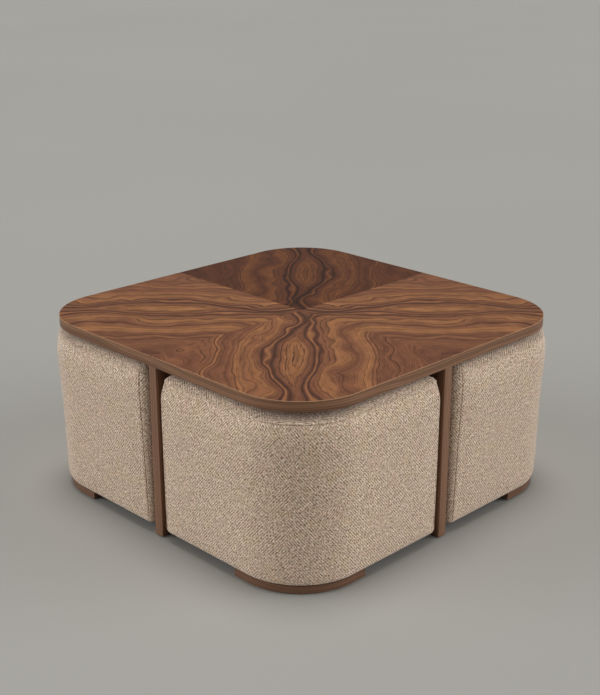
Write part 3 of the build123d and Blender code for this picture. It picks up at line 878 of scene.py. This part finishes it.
# The turns of the ply are about 1 mm long
ply = add(tree, "ShaderNodeTexNoise", {"Vector": where, "Scale": 900.0, "Detail": 1.0})["Fac"]
tone = add(tree, "ShaderNodeValToRGB", {"Fac": ply}, stops=[(0.3, "#C9B79F"), (0.7, "#EADDC9")])
tree.links.new(tone["Color"], surface.inputs["Base Color"])
print("fabric and thread made; a rib every", round(RIB_PITCH / MM, 1), "mm")

# %% [markdown]
# ## Covers and stitches
#
# The four covers are cut from one bolt, each at another place of it. The upholsterer turned the
# cloth so that the ribs climb towards the table's corner from both sides. The side band is laid flat
# by its length round the pouf and its height. The top panel is laid by its plan, and over the
# shoulder by the distance from the edge of the crown, since that is how flat cloth is pulled down.
#
# Waxed thread closes the top seam. Each stitch is a small pinched tube, a few millimetres long.

# %% Upholstered poufs
# A column on a plain outer side, for lengths up the pouf, and those between which the ribs turn
SIDE_COLUMN = 200
TURN_COLUMNS = (96, 122)


def cloth_map(points):
    """Cloth coordinates in mm of each face's corners: round and up on the side, plan on the top."""
    rows = len(points)
    level, upward = grid[LEVEL_ROW, :, :2], grid[:, SIDE_COLUMN]
    around = np.linalg.norm(np.diff(level, axis=0, append=level[:1]), axis=-1)
    around = np.concatenate([[0], around.cumsum()])
    climb = np.linalg.norm(np.diff(upward, axis=0, prepend=upward[:1]), axis=-1).cumsum()
    side_map = np.stack(np.broadcast_arrays(around[None, :], climb[:, None]), axis=-1)
    crown_edge = points[CROWN_ROW, :, :2]
    tangent = np.roll(crown_edge, -1, axis=0) - np.roll(crown_edge, 1, axis=0)
    tangent /= np.linalg.norm(tangent, axis=-1, keepdims=True)
    outward = np.stack([tangent[:, 1], -tangent[:, 0]], axis=-1)
    below = (climb[CROWN_ROW] - climb)[:, None, None]
    plan_map = np.where(below > 0, crown_edge + outward * below, points[..., :2])
    plan_map = np.concatenate([plan_map, plan_map[:, :1]], axis=1)
    on_top = (np.arange(rows - 1) >= SEAM_ROW)[:, None, None, None]

    def corners(values):
        return np.stack([values[:-1, :-1], values[:-1, 1:], values[1:, 1:], values[1:, :-1]], axis=2)

    quads = np.where(on_top, corners(plan_map), corners(side_map)).reshape(-1, 2)
    poles = []
    for row in (0, rows - 1):
        edge = points[row, :, :2]
        following = np.roll(edge, -1, axis=0)
        middle = np.broadcast_to(edge.mean(axis=0), edge.shape)
        pair = (following, edge) if row == 0 else (edge, following)
        poles.append(np.stack([*pair, middle], axis=1).reshape(-1, 2))
    return np.concatenate([quads, *poles])


def stitch_bodies(path, outward, length=4.6, gap=1.8, thick=0.75):
    """Short stitches along a closed path: pinched tubes of five rings with six points each.

    A tube's radius is the square root of a half sine of the way along it. Its middle arches 0.25 mm
    out of the cloth, by a half sine, and its ends dip 0.1 mm into it.
    """
    steps = np.linalg.norm(np.diff(path, axis=0, append=path[:1]), axis=-1)
    at = np.concatenate([[0], np.cumsum(steps)])
    count = int(at[-1] // (length + gap))
    begin = np.arange(count) * at[-1] / count
    ring = np.linspace(0, 1, 5)
    where = begin[:, None] + ring * length
    closed = np.vstack([path, path[:1]])
    closed_out = np.vstack([outward, outward[:1]])
    centre = np.stack([np.interp(where % at[-1], at, closed[:, k]) for k in range(3)], axis=-1)
    out = np.stack([np.interp(where % at[-1], at, closed_out[:, k]) for k in range(3)], axis=-1)
    ahead = np.gradient(centre, axis=1)
    ahead /= np.linalg.norm(ahead, axis=-1, keepdims=True)
    out -= (out * ahead).sum(-1, keepdims=True) * ahead
    out /= np.linalg.norm(out, axis=-1, keepdims=True)
    beside = np.cross(ahead, out)
    radius = (thick * np.sin(np.pi * (0.06 + 0.88 * ring)) ** 0.5)[:, None, None]
    lift = (0.35 * np.sin(np.pi * ring) - 0.1)[:, None, None]
    turn = np.radians(np.arange(6) * 60)[:, None]
    out, beside = out[:, :, None], beside[:, :, None]
    body = centre[:, :, None] + out * lift + radius * (np.cos(turn) * out + np.sin(turn) * beside)
    per = len(ring) * len(turn)
    tube = sheet_of_points(body[0], wrap=True)[1]
    tube += [list(range(len(turn)))[::-1], list(range(per - len(turn), per))]
    faces = [[corner + number * per for corner in face] for number in range(count) for face in tube]
    return body.reshape(-1, 3), faces


# Where each cover is cut from the bolt, in m, and which way its ribs lean before and after the corner
CUTS = {
    "front": (0.0, 0.1, -0.1), "right": (2.1, -0.1, -0.1), "back": (4.3, 0.1, -0.1), "left": (6.2, 0.1, 0.1),
}
outward = row_normals(pouf_form)
laid = cloth_map(pouf_form) * MM
for place, turn in PLACES.items():
    vertices, faces = sheet_of_points(turned(pouf_form, turn), wrap=True, poles=(True, True))
    cover = piece_of(f"{place}_pouf_upholstery", vertices * MM, faces, tweed_cover)
    start, lay_before, lay_after = CUTS[place]
    layer = cover.data.uv_layers.new(name="cloth")
    layer.data.foreach_set("uv", (laid + start).ravel())
    lay = np.interp(np.arange(pouf_form.shape[1]), TURN_COLUMNS, (lay_before, lay_after))
    mesh_data(cover, "lay", np.append(np.tile(lay, len(pouf_form)), [lay_after, lay_after]))
    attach(cover, f"{place}_pouf")
    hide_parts(*(f"{place}_{part}" for part in ("cover_top", "cover_band", "seat_foam", "side_foam")))
    stitched = SEAM_ROW + 2
    path, out = turned(pouf_form[stitched], turn), turned(outward[stitched], turn)
    vertices, faces = stitch_bodies(path, out)
    stitches = piece_of(f"{place}_pouf_top_stitches", vertices * MM, faces, thread)
    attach(stitches, f"{place}_pouf")
    print(cover.name, len(cover.data.polygons), "faces;", stitches.name, len(stitches.data.polygons))

# %% [markdown]
# ## Straight-grained walnut
#
# The edge band, the dividers, their lippings and the feet are plain walnut, cut so that the growth
# rings show as long lines. The band and the bent feet have their grain along the curve, so their
# pattern is laid by the angle round the table and by height. The dividers have theirs upright.
#
# The wood is two patterns on top of each other: growth lines some millimetres apart that wander
# slowly, and fibres that are a hundred times longer than wide.

# %% Walnut along a curve, upright, or flat
# The angle round the table is laid out at this radius, in m, about that of the band
ROUND_RADIUS = 0.45


def long_grain_walnut(name, run, tones):
    """Straight-grained walnut; run says which way the grain goes: round, up or flat."""
    material, tree, surface = finish_named(name, 0.45, IOR=1.5, Specular_IOR_Level=0.3)
    where = add(tree, "ShaderNodeTexCoord")["Object"]
    x, y, z = add(tree, "ShaderNodeSeparateXYZ", {"Vector": where}).values()
    if run == "round":
        angle = add(tree, "ShaderNodeMath", {0: y, 1: x}, operation="ARCTAN2")["Value"]
        along = add(tree, "ShaderNodeMath", {0: angle, 1: ROUND_RADIUS}, operation="MULTIPLY")["Value"]
        across = z
    elif run == "up":
        along = z
        across = add(tree, "ShaderNodeMath", {0: x, 1: y}, operation="ADD")["Value"]
    else:
        along, across = x, y
    board = add(tree, "ShaderNodeCombineXYZ", {"X": across, "Y": along, "Z": 0.0})["Vector"]
    # Growth lines about 5 mm apart lean a little and sway in cells of 110 by 330 mm
    sway_at = add(tree, "ShaderNodeMapping", {"Vector": board, "Scale": (9, 3, 1)})["Vector"]
    sway = add(tree, "ShaderNodeTexNoise", {"Vector": sway_at, "Scale": 1.0, "Detail": 2.0})["Fac"]
    leaning = add(tree, "ShaderNodeMath", {0: along, 1: 0.012, 2: across}, operation="MULTIPLY_ADD")["Value"]
    wander = 0.045 if run == "round" else 0.015
    ring = add(tree, "ShaderNodeMath", {0: sway, 1: wander, 2: leaning}, operation="MULTIPLY_ADD")["Value"]
    ring_at = add(tree, "ShaderNodeMath", {0: ring, 1: 190.0}, operation="MULTIPLY")["Value"]
    rings = add(tree, "ShaderNodeTexNoise", {"W": ring_at, "Scale": 1.0, "Detail": 2.0, "Roughness": 0.6},
                noise_dimensions="1D")["Fac"]
    dark, brown, light = tones
    colour = add(tree, "ShaderNodeValToRGB", {"Fac": rings}, stops=[
        (0.30, dark), (0.42, brown), (0.50, light), (0.60, brown), (0.72, dark)])["Color"]
    # Fibres of 0.7 by 60 mm
    _, tone = fibre_streaks(tree, surface, board, (1500, 16, 1), 2.0, 0.15)
    colour = add(tree, "ShaderNodeVectorMath", {0: colour, "Scale": tone}, operation="SCALE")["Vector"]
    tree.links.new(colour, surface.inputs["Base Color"])
    return material


def grained(name, light, dark, stretch, roughness, **constants):
    """A plain material with one stretched noise between two tones; stretch is its cells per metre."""
    material, tree, surface = finish_named(name, roughness, **constants)
    where = add(tree, "ShaderNodeTexCoord")["Object"]
    at = add(tree, "ShaderNodeMapping", {"Vector": where, "Scale": stretch})["Vector"]
    speck = add(tree, "ShaderNodeTexNoise", {"Vector": at, "Scale": 1.0, "Detail": 3.0})["Fac"]
    tone = add(tree, "ShaderNodeValToRGB", {"Fac": speck}, stops=[(0.35, dark), (0.65, light)])["Color"]
    tree.links.new(tone, surface.inputs["Base Color"])
    bump = add(tree, "ShaderNodeBump", {"Height": speck, "Strength": 0.2, "Distance": 0.0003})["Normal"]
    tree.links.new(bump, surface.inputs["Normal"])
    return material


# Each finish under the endings of the names of its solids
FINISHES = {
    # A 2 mm band bent round the core, brushed lacquer a little duller than the top
    ("edge_band",): long_grain_walnut(
        "walnut_edge_band_satin_lacquer", "round", ("#60402B", "#7A563E", "#906A4F")),
    # Panels veneered with straight leaf, and solid lippings on their ends; the panels' walnut tones are
    # set darker than the lippings' as a painted shade for the dark gaps beside the poufs
    ("divider_slotted_above", "divider_slotted_below"): long_grain_walnut(
        "walnut_straight_veneer_upright", "up", ("#4C3224", "#624433", "#745440")),
    ("end_lippings",): long_grain_walnut(
        "walnut_solid_lipping_satin", "up", ("#644535", "#7E5B46", "#916C53")),
    # Feet laminated from walnut strips in a curved press
    ("corner_foot",): long_grain_walnut(
        "walnut_bent_laminate_satin", "round", ("#543A2B", "#6F4F3D", "#80604A")),
    ("backing_veneer",): long_grain_walnut(
        "walnut_backing_veneer_thin_lacquer", "flat", ("#5A3A29", "#74503A", "#85604A")),
    # Wood fibres pressed with resin: fine, even and dull, in grains of 1.4 mm
    ("tabletop_core",): grained(
        "fibreboard_pressed_raw", "#B18E66", "#9C7A55", (700, 700, 700), 0.85),
    # Birch plywood: pale, with a silky streak of 2.5 by 56 mm along the face grain
    ("seat_board", "box_walls", "base_board"): grained(
        "birch_plywood_sanded_raw", "#D9BD93", "#C4A578", (400, 18, 400), 0.7),
    # Square blocks of stained beech with upright streaks of 3 by 56 mm, out of sight
    ("inner_feet",): grained(
        "stained_wood_block_matt", "#5B4232", "#473225", (300, 300, 18), 0.6),
    # Nylon is slightly waxy: a soft highlight over a dark body, with a 1 mm grain from the mould
    ("floor_glides",): grained(
        "nylon_glide_moulded_dark", "#2A2826", "#232120", (900, 900, 900), 0.5, IOR=1.53),
    # Pressed felt: no shine at all, tufts of half a millimetre, a little bloom from loose hair
    ("foot_pads",): grained(
        "wool_felt_pressed_dark", "#4A423B", "#39322D", (1800, 1800, 1800), 1.0, Sheen_Weight=0.3),
    # Bright zinc over steel: metallic, a little blue, with fine scratches along the screw
    ("foot_screws",): grained(
        "steel_zinc_plated_bright", "#C9CCD1", "#A9ADB3", (2500, 2500, 300), 0.32, Metallic=1.0),
}
painted = 0
for name, node in nodes.items():
    for endings, finish in FINISHES.items():
        if name.endswith(endings):
            node.data.materials.clear()
            node.data.materials.append(finish)
            painted += 1
print("solids with a finish:", painted, "of", len(nodes))

# %% [markdown]
# ## Dust cloth
#
# A thin black non-woven cloth closes the underside of each pouf. It is cut to the shape of the base,
# stretched by hand and stapled along its edge, so it is tight and sags by about a millimetre in the
# middle. It is a sheet with almost no thickness, laid as rings of the base's outline, with a crimped
# edge where the staples pull it up. Its fibres are pressed into specks of 0.7 mm.

# %% Dust cloths
def dust_cloth_points(inset, level, sag=1.0, rings=14):
    """Rings from near the middle to the edge, in mm; the sag is a squared cosine, the edge ripples.

    The ripple is a cosine of six columns a wave, 0.12 mm high at the edge, and fades inwards by the
    sixth power of the way out.
    """
    size = np.full(1, HALF - inset)
    outline = pouf_plan(size, np.full(1, NEAR + inset), np.full(1, 9.0), np.full(1, CORNER - inset),
                        counts=(36, 24, 7, 28))[0]
    middle = np.full(2, POUF_MIDDLE)
    share = np.linspace(0.06, 1, rings)[:, None]
    plan = middle + share[..., None] * (outline - middle)
    ripple = 0.12 * np.cos(np.arange(len(outline)) * 2 * np.pi / 6) * share ** 6
    height = level - sag * np.cos(share * np.pi / 2) ** 2 + ripple
    return np.concatenate([plan, height[..., None]], axis=-1)


nonwoven = grained("nonwoven_dust_cloth_black", "#2B2A2A", "#1D1C1C", (1400, 1400, 1400), 0.95,
                   Sheen_Weight=0.1)
for place, turn in PLACES.items():
    low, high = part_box(f"{place}_dust_cloth")
    wide = (high[0] - low[0]) / MM
    inset = (HALF - NEAR - wide) / 2
    points = turned(dust_cloth_points(inset, high[2] / MM - 0.25), turn)
    vertices, faces = sheet_of_points(points, wrap=True, poles=(True, False))
    cloth = piece_of(f"{place}_pouf_dust_cloth", vertices * MM, faces, nonwoven)
    thick = cloth.modifiers.new("cloth_thickness", "SOLIDIFY")
    thick.thickness = 0.0004
    thick.offset = 0
    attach(cloth, f"{place}_pouf")
    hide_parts(f"{place}_dust_cloth")
    print(cloth.name, "inset", round(inset, 1), "mm, level", round(high[2] / MM, 2))
